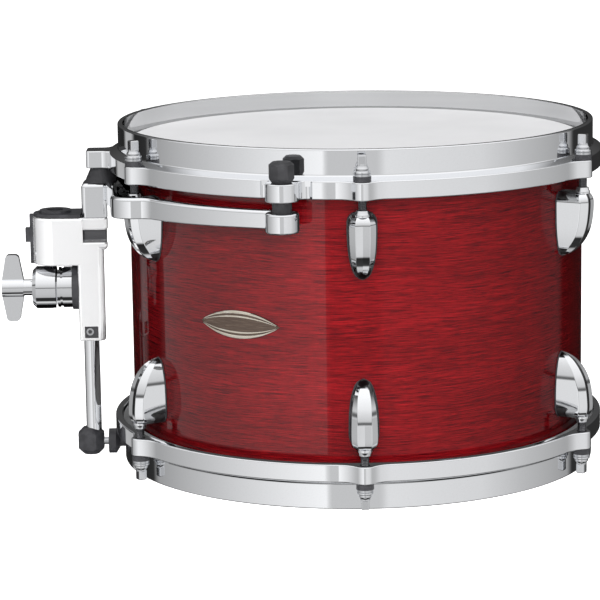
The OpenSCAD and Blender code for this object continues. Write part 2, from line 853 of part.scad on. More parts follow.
module outer_jaw() {
    bevel = 2.5;
    face_r = outer_jaw_d / 2 - bevel;
    color(chrome) at_jaw() difference() {
        intersection() {
            rod_x(-outer_jaw_l - jaw_gap, -jaw_gap, outer_jaw_d);
            translate([-outer_jaw_l - jaw_gap, 0, 0]) rotate([0, 90, 0])
                cylinder(h = outer_jaw_l, r1 = face_r, r2 = face_r + outer_jaw_l);
        }
        jaw_hollow();
        rod_x(-outer_jaw_l - jaw_gap - cut, 0, bolt_d + play);
    }
}

module eyebolt() {
    color(steel) at_jaw() difference() {
        union() {
            upright(eye_h, eye_d);
            rod_x(-outer_jaw_l - wing_hub_l - nut_depth, -holder_hole_d / 2 - cut, bolt_d);
        }
        upright(2 * eye_h, holder_hole_d);
    }
}

// Wing nut: neck, rounded hub and two flat wings
module wing_nut() {
    neck_d = 10.9;
    hub_d = 13;
    wing_t = 5.5;
    wing_tip = 9.5;
    tip_r = 3;
    tip_y = wing_span / 2 - tip_r;
    root_y = 6;
    seat = -outer_jaw_l - jaw_gap - gap;
    wing_start = seat - wing_hub_l;
    wing_mid = wing_start - wing_l / 2;
    color(chrome) at_jaw() difference() {
        union() {
            rod_x(wing_start, seat, neck_d);
            rod_x(wing_start - wing_l, wing_start, hub_d);
            translate([wing_mid, wing_t / 2, 0]) rotate([90, 0, 0]) linear_extrude(wing_t) {
                polygon([
                    [-wing_l / 2, -root_y], [-wing_tip / 2, -tip_y], [wing_tip / 2, -tip_y],
                    [wing_l / 2, -root_y], [wing_l / 2, root_y], [wing_tip / 2, tip_y],
                    [-wing_tip / 2, tip_y], [-wing_l / 2, root_y]
                ]);
                for (s = [-1, 1]) translate([0, s * tip_y])
                    rounded_box_2d(wing_tip, 2 * tip_r, tip_r - gap);
            }
        }
        rod_x(wing_start - nut_depth - cut, seat + cut, bolt_d + 2 * gap);
    }
}

// ---------- stay ----------

foot_d = 17.3;
foot_z = 0.3;
foot_h = 18.2;
foot_x = stay_x - 2.1;              // the foot stands a little outboard of the tube
stud_z = 8.6;
stud_d = 5;
stay_end_z = stud_z + stud_d / 2 + 1;
knob_x = -(shell_r + 18.3);         // outer face of the bumper knob
knob_tip_x = -(rim_ro + gap);
knob_d = 16.8;
knob_neck_d = 7.8;
stud_in = 4;                        // how far the stud reaches past the middle of the foot
knob_face_t = 1;                    // solid face of the knob against the rim

module stay_tube() {
    wall = 1.5;
    in_column = 62;
    length = column_z + in_column - stay_end_z;
    color(chrome) translate([stay_x, 0, stay_end_z]) difference() {
        cylinder(h = length, d = stay_d, $fn = 64);
        translate([0, 0, -cut]) cylinder(h = length + 2 * cut, d = stay_d - 2 * wall, $fn = 64);
    }
}

module stay_set_screw() {
    length = 8;
    socket_d = 2.9;
    socket_l = 3;
    color(steel) translate([stay_x, -stay_d / 2 - gap, set_screw_z]) rotate([90, 0, 0]) difference() {
        cylinder(h = length, d = set_screw_d, $fn = 48);
        translate([0, 0, length - socket_l]) cylinder(h = socket_l + cut, d = socket_d, $fn = 6);
    }
}

module stay_foot() {
    bevel = 4;
    half_turn = 180 / 8;
    corner_r = foot_d / 2 / cos(half_turn);
    over = 0.5;                         // carries the bevels past the corners
    color(black) translate([foot_x, 0, foot_z]) difference() {
        intersection() {
            rotate([0, 0, half_turn]) cylinder(h = foot_h, r = corner_r, $fn = 8);
            rotate_extrude($fn = 64) polygon([
                [0, 0], [corner_r - bevel, 0], [corner_r + over, bevel + over],
                [corner_r + over, foot_h - bevel - over], [corner_r - bevel, foot_h], [0, foot_h]
            ]);
        }
        translate([stay_x - foot_x, 0, stay_end_z - foot_z - gap])
            cylinder(h = foot_h, d = stay_d + 2 * gap, $fn = 64);
        translate([0, 0, stud_z - foot_z]) rod_x(-stud_in - gap, foot_d, stud_d + 2 * gap);
    }
}

module bumper_stud() {
    free_travel = 2;                    // how far the knob can still be screwed onto the stud
    stud_end_x = knob_tip_x - knob_face_t - free_travel;
    color(steel) translate([0, 0, stud_z]) rod_x(foot_x - stud_in, stud_end_x, stud_d);
}

module bumper_knob() {
    disc_l = 5;
    cone_l = 2.8;
    cone_x = knob_x + disc_l;
    color(black) translate([0, 0, stud_z]) difference() {
        union() {
            rod_x(knob_x, cone_x, knob_d);
            translate([cone_x, 0, 0]) rotate([0, 90, 0])
                cylinder(h = cone_l, d1 = knob_d, d2 = knob_neck_d, $fn = 64);
            rod_x(cone_x, knob_tip_x, knob_neck_d);
        }
        rod_x(knob_x - cut, knob_tip_x - knob_face_t, stud_d + 2 * gap);
    }
}

// ---------- every node ----------

shell();
badge();
vent_grommet();
batter_head_film();
batter_flesh_hoop();
resonant_head_film();
resonant_flesh_hoop();
batter_hoop();
resonant_hoop();
upper_lugs();
lower_lugs();
lug_gaskets();
swivel_nuts();
lug_screws();
lug_screw_washers();
batter_rod(1);  // batter_rod_1
batter_rod(2);  // batter_rod_2
batter_rod(3);  // batter_rod_3
batter_rod(4);  // batter_rod_4
batter_rod(5);  // batter_rod_5
batter_rod(6);  // batter_rod_6
batter_nylon_washers();
batter_steel_washers();
resonant_rod(1);  // resonant_rod_1
resonant_rod(2);  // resonant_rod_2
resonant_rod(3);  // resonant_rod_3
resonant_rod(4);  // resonant_rod_4
resonant_rod(5);  // resonant_rod_5
resonant_rod(6);  // resonant_rod_6
resonant_nylon_washers();
resonant_steel_washers();
mount_frame();
hanger_pins();
hanger_caps();
hanger_bushes();
clamp_housing();
housing_screws();
rod_guide();
clamp_plate();
inner_jaw();
outer_jaw();
eyebolt();
wing_nut();
stay_tube();
stay_set_screw();
stay_foot();
bumper_stud();
bumper_knob();
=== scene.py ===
"""Looks for the rack tom drum: lacquered shell, white heads, chrome hoops and lugs, and a bracket.

The frame is the part's: drum axis on Z, lower rim at 0, bracket on -X, camera side -Y. Meshes are
drawn in millimetres and MM turns them into metres; materials and lights are in metres. Angles of
pieces are counted in degrees from +X towards +Y, azimuths of lights and reflections from -Y
towards +X.
"""

import json
import math

import bmesh
import bpy
from mathutils import Matrix, Vector


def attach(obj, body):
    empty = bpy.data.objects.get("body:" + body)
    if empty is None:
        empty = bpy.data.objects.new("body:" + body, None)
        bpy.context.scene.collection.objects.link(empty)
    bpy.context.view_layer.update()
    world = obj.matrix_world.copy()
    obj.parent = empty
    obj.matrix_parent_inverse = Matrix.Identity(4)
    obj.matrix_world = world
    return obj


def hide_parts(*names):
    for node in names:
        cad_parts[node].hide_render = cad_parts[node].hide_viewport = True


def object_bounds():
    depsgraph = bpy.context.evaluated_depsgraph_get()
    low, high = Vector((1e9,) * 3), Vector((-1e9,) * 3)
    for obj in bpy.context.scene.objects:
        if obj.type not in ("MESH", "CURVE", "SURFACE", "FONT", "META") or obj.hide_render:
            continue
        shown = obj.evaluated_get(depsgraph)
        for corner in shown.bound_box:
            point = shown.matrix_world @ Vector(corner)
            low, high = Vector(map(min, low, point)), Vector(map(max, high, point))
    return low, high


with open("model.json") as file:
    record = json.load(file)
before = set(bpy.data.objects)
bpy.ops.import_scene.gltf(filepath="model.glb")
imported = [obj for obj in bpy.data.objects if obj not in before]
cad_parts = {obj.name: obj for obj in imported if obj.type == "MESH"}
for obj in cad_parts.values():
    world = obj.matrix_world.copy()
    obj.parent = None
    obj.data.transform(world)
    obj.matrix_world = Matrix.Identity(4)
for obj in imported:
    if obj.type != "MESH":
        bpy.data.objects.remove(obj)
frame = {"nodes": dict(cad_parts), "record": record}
cad_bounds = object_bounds()

MM = 0.001
SHARP = math.radians(38)    # edges that turn by more than this stay crisp
SLOTS = {row["node"]: row["material_slot"] for row in frame["record"]["subparts"]}
BODY_OF = {n: body for body, names in frame["record"]["behaviour"]["bodies"].items() for n in names}

TOTAL_H = 227.4             # over both hoops
SHELL_R = 151.0
ROD_R = 165.8               # circle of the tension rods
ROD_ANGLES = [90 - 60 * i for i in range(6)]    # in the order of rods 1 to 6
BAND_Z = 197.0              # underside of the upper hoop's band
EAR_Z = 208.5               # flat top of its ears
LEDGE_Z = 210.5             # foot of its upright rim
BAND_R = 164.0              # outside of the band
LUG_Z = 190.7               # rod entry of the upper lugs
ARM_Z = 190.0               # top of the mount frame's arms
HANGER_R, HANGER_EAR_R = 172.0, 10.5            # the two outer hangers and their round ears
HANGER_ANGLES = (106.6, 253.4)
POST_IN = -165.4            # shell side of the bracket's post and of the bridge under it


# ---------- node trees ----------


class Nodes:
    """Adds shader nodes to one tree; an input is a value or another node's output."""

    def __init__(self, tree):
        self.tree = tree

    def add(self, kind, inputs=None, **settings):
        node = self.tree.nodes.new(kind)
        for name, value in settings.items():
            setattr(node, name, value)
        for name, value in (inputs or {}).items():
            self.put(node.inputs[name], value)
        return node

    def put(self, socket, value):
        if isinstance(value, bpy.types.NodeSocket):
            self.tree.links.new(value, socket)
        else:
            socket.default_value = value

    def math(self, operation, *values, clamp=False):
        inputs = dict(enumerate(values))
        return self.add("ShaderNodeMath", inputs, operation=operation, use_clamp=clamp).outputs[0]

    def vector(self, operation, *values, output="Vector"):
        inputs = dict(enumerate(values))
        return self.add("ShaderNodeVectorMath", inputs, operation=operation).outputs[output]

    def parts(self, vector):
        return self.add("ShaderNodeSeparateXYZ", {0: vector}).outputs

    def noise(self, vector, scale, detail=3.0, rough=0.5):
        inputs = {"Vector": vector, "Scale": scale, "Detail": detail, "Roughness": rough}
        return self.add("ShaderNodeTexNoise", inputs).outputs["Fac"]

    def stretch(self, vector, scale):
        return self.add("ShaderNodeMapping", {"Vector": vector, "Scale": scale}).outputs[0]

    def ramp(self, fac, stops):
        """stops are (position, grey or colour) pairs."""
        node = self.add("ShaderNodeValToRGB", {"Fac": fac})
        elements = node.color_ramp.elements
        while len(elements) < len(stops):
            elements.new(0.5)
        for element, (position, tone) in zip(elements, stops):
            element.position = position
            element.color = (*tone, 1) if isinstance(tone, tuple) else (tone, tone, tone, 1)
        return node.outputs[0]

    def mix(self, fac, a, b, blend="MIX"):
        """Colour b over a by fac; a mix node keeps its colour sockets at 6 and 7."""
        node = self.add("ShaderNodeMix", data_type="RGBA", blend_type=blend)
        for socket, value in zip((node.inputs[0], node.inputs[6], node.inputs[7]), (fac, a, b)):
            if isinstance(value, tuple) and len(value) == 3:
                value = (*value, 1)
            self.put(socket, value)
        return node.outputs[2]

    def bump(self, height, strength, depth):
        inputs = {"Height": height, "Strength": strength, "Distance": depth}
        return self.add("ShaderNodeBump", inputs).outputs[0]


def principled(name, **inputs):
    """A new material with its Principled shader's inputs set; keys use _ for spaces."""
    material = bpy.data.materials.new(name)
    material.use_nodes = True
    nodes = Nodes(material.node_tree)
    shader = material.node_tree.nodes["Principled BSDF"]
    for key, value in inputs.items():
        nodes.put(shader.inputs[key.replace("_", " ")], value)
    return material, nodes, shader


def object_space(nodes):
    return nodes.add("ShaderNodeTexCoord").outputs["Object"]


def scaled(tone, share):
    return tuple(share * c for c in tone)


def tint(material, mask_of, tone):
    """Puts a tone over a material's colour where the mask that mask_of makes is 1."""
    nodes = Nodes(material.node_tree)
    colour = material.node_tree.nodes["Principled BSDF"].inputs["Base Color"]
    nodes.put(colour, nodes.mix(mask_of(nodes), colour.links[0].from_socket, tone))
    return material


# ---------- materials ----------


def lacquered_wood():
    """Red stain over a horizontal grain that runs round the shell, under a glossy clear coat, and
    painted shade that darkens the stain towards the shell's outline.
    """
    material, nodes, shader = principled(
        "red_wood", Coat_Weight=0.35, Coat_Roughness=0.015, Coat_IOR=1.5, Roughness=0.6,
        Specular_IOR_Level=0.0)
    place = object_space(nodes)
    drift = nodes.noise(nodes.stretch(place, (7, 7, 20)), 1.0, 2.0)
    wave_height = 0.012
    rise = nodes.math("MULTIPLY", drift, wave_height)
    waved = nodes.vector("ADD", place, nodes.add("ShaderNodeCombineXYZ", {"Z": rise}).outputs[0])
    streaks = nodes.noise(nodes.stretch(waved, (62, 62, 2900)), 1.0, 6.0, 0.7)
    broad = nodes.noise(nodes.stretch(waved, (20, 20, 700)), 1.0, 4.0, 0.65)
    pores = nodes.noise(nodes.stretch(waved, (95, 95, 4200)), 1.0, 2.0, 0.6)
    clouds = nodes.noise(nodes.stretch(place, (9, 9, 26)), 1.0, 3.0)
    stain = nodes.ramp(streaks, [
        (0.37, (0.03, 0.001, 0.002)), (0.46, (0.10, 0.0025, 0.004)), (0.62, (0.19, 0.004, 0.006))])
    stain = nodes.mix(1.0, stain, nodes.ramp(broad, [(0.34, 0.68), (0.6, 1.08)]), "MULTIPLY")
    dark = nodes.ramp(pores, [(0.36, 0.8), (0.44, 0.0)])
    stain = nodes.mix(dark, stain, (0.022, 0.001, 0.003))
    stain = nodes.mix(1.0, stain, nodes.ramp(clouds, [(0.3, 0.8), (0.7, 1.08)]), "MULTIPLY")
    # painted shade: the stain is multiplied down where the surface turns away from the camera, for
    # the light falling off at the shell's sides
    slant = nodes.add("ShaderNodeLayerWeight", {"Blend": 0.5}).outputs["Facing"]
    edge_painted_shade = nodes.ramp(slant, [(0.0, 1.0), (0.15, 0.78), (0.4, 0.64), (0.56, 0.5), (0.8, 0.3)])
    nodes.put(shader.inputs["Base Color"], nodes.mix(1.0, stain, edge_painted_shade, "MULTIPLY"))
    nodes.put(shader.inputs["Normal"], nodes.bump(streaks, 0.05, 0.0003))
    return material


def polished(name, tone, rough, metallic=1.0):
    """Plated metal: a mirror with faint handling haze and the slight waviness of plating."""
    material, nodes, shader = principled(name, Metallic=metallic)
    place = object_space(nodes)
    haze = nodes.noise(place, 55, 4.0, 0.6)
    fine = nodes.noise(nodes.stretch(place, (1, 1, 3)), 900, 2.0)
    smudges = nodes.ramp(haze, [(0.35, 0.0), (0.75, 1.0)])
    wear = nodes.ramp(fine, [(0.3, 0.0), (0.8, 0.35)])
    nodes.put(shader.inputs["Base Color"], nodes.mix(wear, tone, scaled(tone, 0.9)))
    nodes.put(shader.inputs["Roughness"], nodes.math("MULTIPLY_ADD", smudges, 0.5 * rough, rough))
    nodes.put(shader.inputs["Normal"], nodes.bump(haze, 0.03, 0.0003))
    return material


def rod_steel():
    """Steel with painted shade along the threaded shank, up to a distance from the drum's middle.
    """
    shank_end = 0.0865

    # painted shade: the mask that darkens the threaded shank, which lies between hoop and lug
    def shank_painted_shade(nodes):
        height = nodes.parts(object_space(nodes))[2]
        from_middle = nodes.math("ABSOLUTE", nodes.math("SUBTRACT", height, TOTAL_H * MM / 2))
        share = nodes.math("MULTIPLY", from_middle, 10.0)
        return nodes.ramp(share, [(10 * shank_end, 1.0), (10 * shank_end + 0.005, 0.0)])

    # the dark tone of the painted shade on the shank
    return tint(polished("rod_steel", (0.72, 0.73, 0.75), 0.12), shank_painted_shade, (0.20, 0.20, 0.21))


def satin_chrome():
    """Lightly blasted plating on the casting, with painted shade in the recesses of its column."""
    column_from = -0.187
    # how far off the middle plane the floor lies, height of the middle, half height
    recesses = ((0.0116, 0.1518, 0.0038), (0.0129, 0.08695, 0.0041))

    # painted shade: dark colour in two boxes, under the bridge and at the column's notch; the lower
    # box also covers the column's outward face there
    def recess_painted_shade(nodes):
        x, y, z = nodes.parts(object_space(nodes))
        by_column = nodes.math("GREATER_THAN", x, column_from)
        depth = nodes.math("ABSOLUTE", y)
        mask = 0.0
        for floor, middle, half in recesses:
            sunk = nodes.math("MULTIPLY", by_column, nodes.math("LESS_THAN", depth, floor))
            off = nodes.math("ABSOLUTE", nodes.math("SUBTRACT", z, middle))
            inside = nodes.math("MULTIPLY", sunk, nodes.math("LESS_THAN", off, half))
            mask = nodes.math("ADD", mask, inside, clamp=True)
        return mask

    casting = polished("satin_chrome", (0.97, 0.972, 0.98), 0.045, metallic=0.72)
    # the dark tone of the painted shade in the recesses
    return tint(casting, recess_painted_shade, (0.09, 0.09, 0.095))


def hoop_chrome():
    """Chrome with painted shade on the inner wall of the hoop: a darker tone where the surface
    faces the drum's axis.
    """

    def inner_wall_painted_shade(nodes):
        level = nodes.vector("MULTIPLY", object_space(nodes), (1.0, 1.0, 0.0))
        outward = nodes.vector("NORMALIZE", level)
        normal = nodes.add("ShaderNodeTexCoord").outputs["Normal"]
        facing = nodes.vector("DOT_PRODUCT", outward, normal, output="Value")
        return nodes.ramp(nodes.math("MULTIPLY_ADD", facing, 0.5, 0.5), [(0.12, 1.0), (0.3, 0.0)])

    plated = polished("hoop_chrome", (0.86, 0.87, 0.89), 0.035)
    # painted shade: the darker tone over the chrome on the hoop's inner wall
    return tint(plated, inner_wall_painted_shade, (0.64, 0.645, 0.65))


def brushed(name, tone, rough, lines):
    """Metal with fine parallel brush lines; lines is the stretch of the noise on each axis."""
    material, nodes, shader = principled(name, Metallic=1.0)
    place = object_space(nodes)
    brush = nodes.noise(nodes.stretch(place, lines), 1.0, 4.0, 0.6)
    tarnish = nodes.noise(place, 80, 3.0)
    lines_seen = nodes.ramp(brush, [(0.3, 0.0), (0.7, 1.0)])
    colour = nodes.mix(lines_seen, scaled(tone, 0.72), tone)
    spots = nodes.ramp(tarnish, [(0.5, 0.0), (0.8, 0.4)])
    colour = nodes.mix(spots, colour, scaled(tone, 0.55))
    nodes.put(shader.inputs["Base Color"], colour)
    nodes.put(shader.inputs["Roughness"], nodes.ramp(brush, [(0.3, rough), (0.7, 1.5 * rough)]))
    nodes.put(shader.inputs["Normal"], nodes.bump(brush, 0.12, 0.0002))
    return material


def moulded(name, tone, rough, grain):
    """Black plastic or rubber with a fine moulded grain and paler wear in random patches."""
    material, nodes, shader = principled(name)
    place = object_space(nodes)
    grit = nodes.noise(place, grain, 3.0, 0.7)
    wear = nodes.noise(place, 140, 4.0, 0.6)
    pale = tuple(2.2 * c + 0.012 for c in tone)
    worn = nodes.ramp(wear, [(0.45, 0.0), (0.8, 0.7)])
    nodes.put(shader.inputs["Base Color"], nodes.mix(worn, tone, pale))
    nodes.put(shader.inputs["Roughness"], nodes.ramp(grit, [(0.3, rough), (0.7, rough + 0.18)]))
    nodes.put(shader.inputs["Normal"], nodes.bump(grit, 0.25, 0.0003))
    return material


def coated_film():
    """White coated drum head: soft sheen, a fine sprayed grain and faint stick scuffs."""
    material, nodes, shader = principled("head_film", IOR=1.5)
    place = object_space(nodes)
    spray = nodes.noise(place, 1600, 3.0, 0.7)
    patches = nodes.noise(place, 18, 3.0)
    scuffs = nodes.noise(nodes.stretch(place, (60, 260, 1)), 1.0, 4.0, 0.6)
    thick = nodes.ramp(patches, [(0.3, 0.0), (0.7, 1.0)])
    white = nodes.mix(thick, (0.80, 0.80, 0.81), (0.86, 0.86, 0.87))
    scuffed = nodes.ramp(scuffs, [(0.62, 0.0), (0.8, 0.25)])
    white = nodes.mix(scuffed, white, (0.70, 0.70, 0.72))
    nodes.put(shader.inputs["Base Color"], white)
    nodes.put(shader.inputs["Roughness"], nodes.ramp(spray, [(0.3, 0.36), (0.7, 0.52)]))
    nodes.put(shader.inputs["Normal"], nodes.bump(spray, 0.12, 0.0002))
    return material


def plated_badge():
    """Brushed bronze on the raised border and line, dark enamel in the field between them."""
    material, nodes, shader = principled("badge_metal")
    place = object_space(nodes)
    x, y, _ = nodes.parts(place)
    squares = nodes.math("ADD", nodes.math("POWER", x, 2.0), nodes.math("POWER", y, 2.0))
    off_shell = nodes.math("SUBTRACT", nodes.math("SQRT", squares), SHELL_R * MM)
    relief = nodes.math("MULTIPLY", off_shell, 1 / MM)
    raised = nodes.ramp(relief, [(0.83, 0.0), (0.89, 1.0)])
    brush = nodes.noise(nodes.stretch(place, (90, 90, 2600)), 1.0, 4.0, 0.6)
    lines = nodes.ramp(brush, [(0.3, 0.0), (0.7, 1.0)])
    bronze = nodes.mix(lines, (0.66, 0.58, 0.46), (0.92, 0.88, 0.80))
    enamel = nodes.mix(lines, (0.035, 0.022, 0.016), (0.075, 0.05, 0.035))
    nodes.put(shader.inputs["Base Color"], nodes.mix(raised, enamel, bronze))
    nodes.put(shader.inputs["Metallic"], raised)
    nodes.put(shader.inputs["Roughness"], nodes.ramp(brush, [(0.3, 0.16), (0.7, 0.32)]))
    nodes.put(shader.inputs["Normal"], nodes.bump(brush, 0.1, 0.0002))
    return material


MATERIALS = {
    "red_wood": lacquered_wood(),
    "chrome": polished("chrome", (0.86, 0.87, 0.89), 0.035),
    "hoop_chrome": hoop_chrome(),
    "satin_chrome": satin_chrome(),
    "rod_steel": rod_steel(),
    "steel": polished("steel", (0.60, 0.61, 0.63), 0.16),
    "aluminium": brushed("aluminium", (0.72, 0.73, 0.74), 0.3, (400, 400, 40)),
    "badge_metal": plated_badge(),
    "rubber": moulded("rubber", (0.018, 0.018, 0.020), 0.5, 2400),
    "black_plastic": moulded("black_plastic", (0.022, 0.022, 0.025), 0.3, 1800),
    "head_film": coated_film(),
}


# ---------- plan outlines ----------


def cosd(angle):
    return math.cos(math.radians(angle))


def sind(angle):
    return math.sin(math.radians(angle))


def turn_of(x, y):
    """Angle of a point about the origin."""
    return math.degrees(math.atan2(y, x))


def turned(points, angle):
    """The points, turned about the origin."""
    c, s = cosd(angle), sind(angle)
    return [(c * x - s * y, s * x + c * y) for x, y in points]


def arc(cx, cy, r, start, end, step=7.0):
    count = max(2, math.ceil(abs(end - start) / step))
    angles = [start + (end - start) * i / count for i in range(count + 1)]
    return [(cx + r * cosd(a), cy + r * sind(a)) for a in angles]


def circle(cx, cy, r, count=64):
    return [(cx + r * cosd(360 * i / count), cy + r * sind(360 * i / count)) for i in range(count)]


def rounded(points, radii, steps=4):
    """A closed outline, each corner rounded by its own radius; a radius of 0 keeps the corner."""
    result = []
    for i, (corner, radius) in enumerate(zip(points, radii)):
        corner = Vector(corner)
        if radius <= 0:
            result.append(tuple(corner))
            continue
        before = (Vector(points[i - 1]) - corner).normalized()
        after = (Vector(points[(i + 1) % len(points)]) - corner).normalized()
        half = before.angle(after) / 2
        centre = corner + (before + after).normalized() * radius / math.sin(half)
        first = corner + before * radius / math.tan(half) - centre
        last = corner + after * radius / math.tan(half) - centre
        start = turn_of(*first)
        sweep = (turn_of(*last) - start + 180) % 360 - 180
        for k in range(steps + 1):
            angle = start + sweep * k / steps
            result.append((centre.x + radius * cosd(angle), centre.y + radius * sind(angle)))
    return result


def round_ear(angle, ear_r, ear_at, ring_r, fillet_r, notch=0.0):
    """A round ear on a ring: the angles where its fillets meet the ring, and its points.

    A notch draws the fillets' centres that much towards the axis, which leaves a crease.
    """
    reach = ring_r + fillet_r - notch
    spread = ear_r + fillet_r
    swing = math.acos((reach**2 + ear_at**2 - spread**2) / (2 * reach * ear_at))
    past = math.acos(min(1.0, (ring_r**2 + reach**2 - fillet_r**2) / (2 * ring_r * reach)))
    fx, fy = reach * math.cos(swing), reach * math.sin(swing)
    rx, ry = ring_r * math.cos(swing + past), ring_r * math.sin(swing + past)
    from_ear = turn_of(ear_at - fx, -fy)
    to_ring = turn_of(rx - fx, ry - fy)
    while to_ring > from_ear:
        to_ring -= 360
    half = arc(ear_at, 0, ear_r, 0, turn_of(fx - ear_at, fy))
    half += arc(fx, fy, fillet_r, from_ear, to_ring)[1:]
    points = [(x, -y) for x, y in reversed(half[1:])] + half
    span = math.degrees(swing + past)
    return angle - span, angle + span, turned(points, angle)


def square_ear(angle, ring_r):
    """The squared ear over the bracket, flared into the ring."""
    corners = [(160.5, -16), (167, -10), (179.4, -10), (179.4, 10), (167, 10), (160.5, 16)]
    points = rounded(corners, (0, 6, 2.5, 2.5, 6, 0), 6)
    points = [(x, y) for x, y in points if math.hypot(x, y) > ring_r]
    span = turn_of(*points[-1])
    return angle - span, angle + span, turned(points, angle)


def ring_path(ring_r, features, start, end, step=1.5):
    """Points along a ring from start to end degrees, by way of its features."""
    points = []
    here = start
    for first, last, shape in sorted(features):
        points += arc(0, 0, ring_r, here, first, step)[:-1] + shape
        here = last
    return points + arc(0, 0, ring_r, here, end, step)[1:]


# ---------- solids ----------


def inset(points, distance):
    """Each point moved inward along its mitre; the outline runs counter-clockwise."""
    result = []
    for i, point in enumerate(points):
        before = Vector(point) - Vector(points[i - 1])
        after = Vector(points[(i + 1) % len(points)]) - Vector(point)
        n1 = Vector((-before.y, before.x)).normalized()
        n2 = Vector((-after.y, after.x)).normalized()
        mitre = (n1 + n2) / max(0.35, 1 + n1.dot(n2))
        result.append((point[0] + mitre.x * distance, point[1] + mitre.y * distance))
    return result


def level_of(height, point):
    return height(*point) if callable(height) else height


def bridge_rings(bm, lower, upper):
    for i in range(len(lower)):
        bm.faces.new((lower[i - 1], lower[i], upper[i], upper[i - 1]))


def prism(bm, outline, low, high, edge=0.0, foot_edge=None, holes=(), steps=4):
    """Upright solid over an outline, its outer edges rounded.

    edge and foot_edge are the radii at the top and the foot; low and high may depend on the point.
    """
    foot_edge = edge if foot_edge is None else foot_edge
    shrunk = []
    for k in range(steps + 1):
        angle = 90 * k / steps
        shrunk.append((foot_edge * (1 - sind(angle)), foot_edge * (1 - cosd(angle)), low, 1))
    for k in range(steps + 1):
        angle = 90 - 90 * k / steps
        shrunk.append((edge * (1 - sind(angle)), edge * (1 - cosd(angle)), high, -1))
    rings = []
    for distance, rise, height, sign in shrunk:
        points = inset(outline, distance) if distance else outline
        rings.append([
            bm.verts.new((x, y, level_of(height, (x, y)) + sign * rise)) for x, y in points])
    for lower, upper in zip(rings, rings[1:]):
        bridge_rings(bm, lower, upper)
    ends = [[rings[0]], [rings[-1]]]
    for hole in holes:
        pair = [[bm.verts.new((x, y, level_of(h, (x, y)))) for x, y in hole] for h in (low, high)]
        bridge_rings(bm, *pair)
        ends[0].append(pair[0])
        ends[1].append(pair[1])
    for loops in ends:
        if len(loops) == 1:
            bm.faces.new(loops[0])
            continue
        edges = [bm.edges.get((loop[i - 1], loop[i])) for loop in loops for i in range(len(loop))]
        bmesh.ops.triangle_fill(bm, edges=edges, use_beauty=True, normal=(0, 0, 1))


def lathe(bm, profile, segments=64, centre=(0.0, 0.0), closed=False):
    """Turns (radius, height) pairs about an upright line; an open profile ends on the line."""
    rings = []
    for radius, height in profile:
        ring = circle(*centre, max(radius, 1e-5), segments)
        rings.append([bm.verts.new((x, y, height)) for x, y in ring])
    for lower, upper in zip(rings, rings[1:] + ([rings[0]] if closed else [])):
        bridge_rings(bm, lower, upper)


def thread(bm, radius, depth, pitch, low, high, segments=24):
    """A screw thread: one ridge that climbs by a pitch on every turn."""
    shape = ((radius - depth, 0.0), (radius, 0.38), (radius, 0.5), (radius - depth, 0.88))
    count = int((high - low) / pitch * segments)
    columns = []
    for j in range(count + 1):
        angle, base = 360 * j / segments, low + pitch * j / segments
        columns.append([
            bm.verts.new((r * cosd(angle), r * sind(angle), base + z * pitch)) for r, z in shape])
    for left, right in zip(columns, columns[1:]):
        for k in range(3):
            bm.faces.new((left[k], right[k], right[k + 1], left[k + 1]))
    for j in range(count - segments):
        above = j + segments
        bm.faces.new((columns[j][3], columns[j + 1][3], columns[above + 1][0], columns[above][0]))


def place(bm, start, matrix):
    """Moves every vertex made since there were start of them."""
    bm.verts.ensure_lookup_table()
    bmesh.ops.transform(bm, matrix=matrix, verts=bm.verts[start:])


def lower_side(bm, start=0):
    """Turns upper vertices, from start on, into their mirror image at the lower head."""
    place(bm, start, Matrix.Translation((0, 0, TOTAL_H)) @ Matrix.Diagonal((1, 1, -1, 1)))


def carve(obj, cutter):
    """Cuts one object out of another and removes the cutter."""
    modifier = obj.modifiers.new("cut", "BOOLEAN")
    modifier.object = cutter
    modifier.solver = "EXACT"
    bpy.context.view_layer.update()
    evaluated = obj.evaluated_get(bpy.context.evaluated_depsgraph_get())
    result = bpy.data.meshes.new_from_object(evaluated)
    obj.modifiers.clear()
    obj.data = result
    bpy.data.objects.remove(cutter)


def in_scene(name, data):
    """A new object with this data, linked to the scene."""
    obj = bpy.data.objects.new(name, data)
    bpy.context.scene.collection.objects.link(obj)
    return obj


def new_object(name, bm):
    bmesh.ops.transform(bm, matrix=Matrix.Scale(MM, 4), verts=bm.verts)
    bmesh.ops.remove_doubles(bm, verts=bm.verts, dist=1e-6)
    bmesh.ops.recalc_face_normals(bm, faces=bm.faces)
    mesh = bpy.data.meshes.new(name)
    bm.to_mesh(mesh)
    bm.free()
    return in_scene(name, mesh)


def piece(name, bm, nodes, cutter=None, look=None):
    """A finished piece from a mesh in millimetres, in place of CAD nodes and on their body."""
    obj = new_object(name, bm)
    if cutter:
        carve(obj, new_object(name + "_cutter", cutter))
    shaded = bmesh.new()
    shaded.from_mesh(obj.data)
    for face in shaded.faces:
        face.smooth = True
    for side in shaded.edges:
        side.smooth = not side.seam and side.calc_face_angle(math.pi) < SHARP
    shaded.to_mesh(obj.data)
    shaded.free()
    obj.data.materials.clear()
    obj.data.materials.append(MATERIALS[look or SLOTS[nodes[0]]])
    obj.modifiers.new("weighted", "WEIGHTED_NORMAL").keep_sharp = True
    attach(obj, BODY_OF[nodes[0]])
    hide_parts(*nodes)


# ---------- shell and badge ----------


